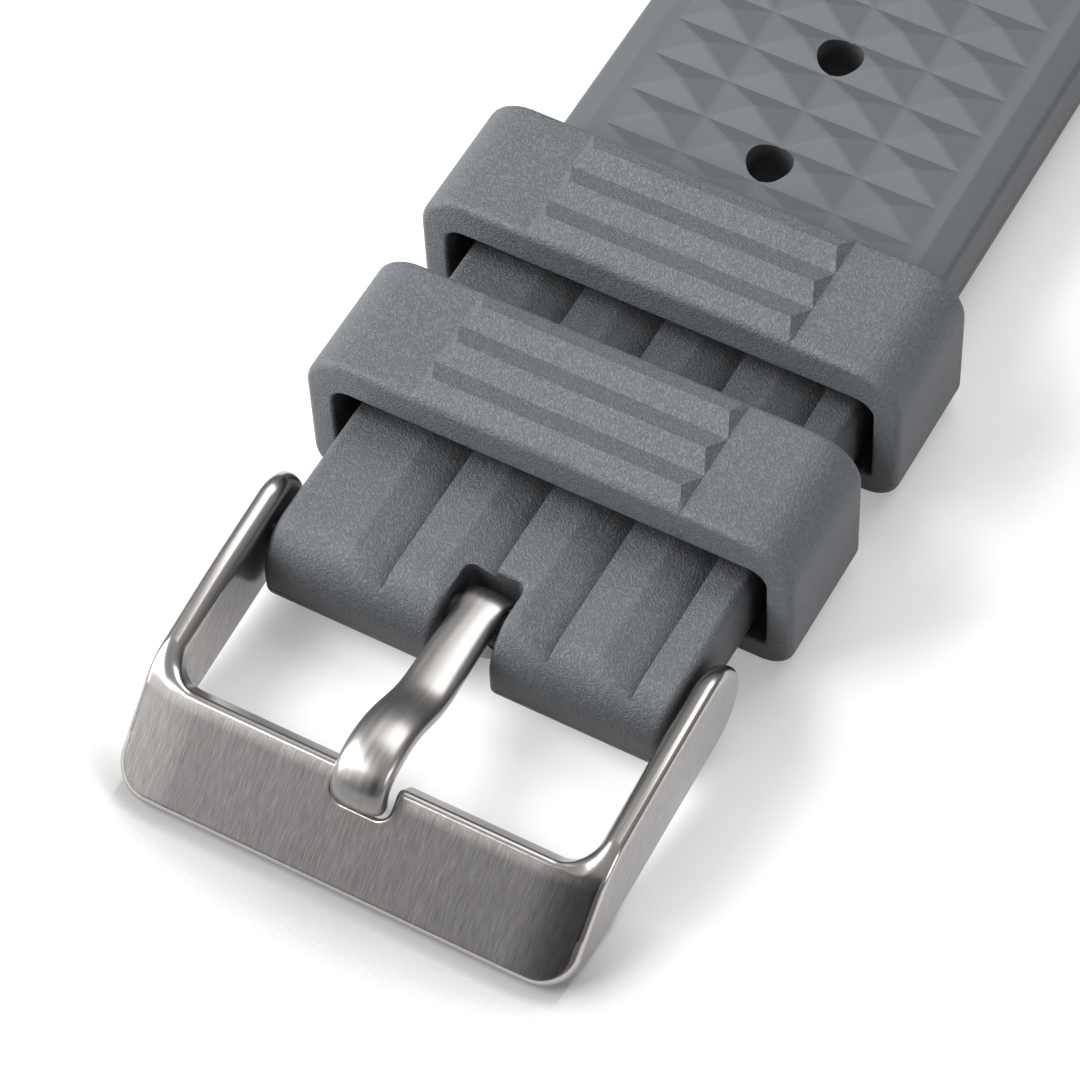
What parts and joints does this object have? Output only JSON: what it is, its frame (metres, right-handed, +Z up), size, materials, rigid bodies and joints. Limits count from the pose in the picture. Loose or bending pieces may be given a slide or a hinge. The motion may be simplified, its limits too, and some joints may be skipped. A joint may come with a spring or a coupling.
{
  "type": "rubber watch strap half with pin buckle",
  "caption": "Buckle side of a moulded rubber watch strap: pyramid relief, fluted front, two sliding keepers, a slanted steel pin buckle and sprung bars at both ends.",
  "frame": {"origin": "middle of the object's box, on the table it lies on", "axes": "+Y along the strap from the buckle to the lug end, +X across the strap to the right when seen from the buckle, +Z up out of the patterned top"},
  "size_m": [0.0244, 0.091, 0.0091],
  "materials": {
    "strap_rubber": "matte, fine moulded grain",
    "keeper_rubber": "matte, coarser moulded grain",
    "brushed_buckle": "satin brushed faces with polished edges",
    "polished_tongue": "polished",
    "bar_steel": "turned",
    "spring_wire": "drawn wire"
  },
  "bodies": {
    "strap_body": {"strap": "strap_rubber", "buckle_bar_tube": "bar_steel", "buckle_bar_spring": "spring_wire", "lug_bar_tube": "bar_steel", "lug_bar_spring": "spring_wire"},
    "front_keeper_body": {"front_keeper": "keeper_rubber"},
    "rear_keeper_body": {"rear_keeper": "keeper_rubber"},
    "buckle_body": {"buckle_frame": "brushed_buckle"},
    "tongue_body": {"tongue": "polished_tongue"},
    "buckle_tip_left_body": {"buckle_bar_tip_left": "bar_steel"},
    "buckle_tip_right_body": {"buckle_bar_tip_right": "bar_steel"},
    "lug_tip_left_body": {"lug_bar_tip_left": "bar_steel"},
    "lug_tip_right_body": {"lug_bar_tip_right": "bar_steel"}
  },
  "joints": [
    {"name": "front_keeper_slide", "type": "slide", "parent": "strap_body", "child": "front_keeper_body", "axis": [0, 1, 0], "range_m": [-0.0024, 0.0016]},
    {"name": "rear_keeper_slide", "type": "slide", "parent": "strap_body", "child": "rear_keeper_body", "axis": [0, 1, 0], "range_m": [-0.0016, 0.03]},
    {"name": "buckle_swing", "type": "hinge", "parent": "strap_body", "child": "buckle_body", "pos_m": [0, -0.03192, 0.00337], "axis": [-1, 0, 0], "range_deg": [-80, 26]},
    {"name": "tongue_turn", "type": "hinge", "parent": "buckle_body", "child": "tongue_body", "pos_m": [0, -0.03192, 0.00337], "axis": [-1, 0, 0], "range_deg": [0, 58]},
    {"name": "buckle_tip_left_push", "type": "slide", "parent": "strap_body", "child": "buckle_tip_left_body", "axis": [1, 0, 0], "range_m": [0, 0.0007], "stiffness_N_per_m": 500, "springref_m": -0.0008, "deforming": ["buckle_bar_spring"]},
    {"name": "buckle_tip_right_push", "type": "slide", "parent": "strap_body", "child": "buckle_tip_right_body", "axis": [-1, 0, 0], "range_m": [0, 0.0007], "stiffness_N_per_m": 500, "springref_m": -0.0008, "deforming": ["buckle_bar_spring"]},
    {"name": "lug_tip_left_push", "type": "slide", "parent": "strap_body", "child": "lug_tip_left_body", "axis": [1, 0, 0], "range_m": [0, 0.0011], "stiffness_N_per_m": 500, "springref_m": -0.0008, "deforming": ["lug_bar_spring"]},
    {"name": "lug_tip_right_push", "type": "slide", "parent": "strap_body", "child": "lug_tip_right_body", "axis": [-1, 0, 0], "range_m": [0, 0.0011], "stiffness_N_per_m": 500, "springref_m": -0.0008, "deforming": ["lug_bar_spring"]}
  ]
}
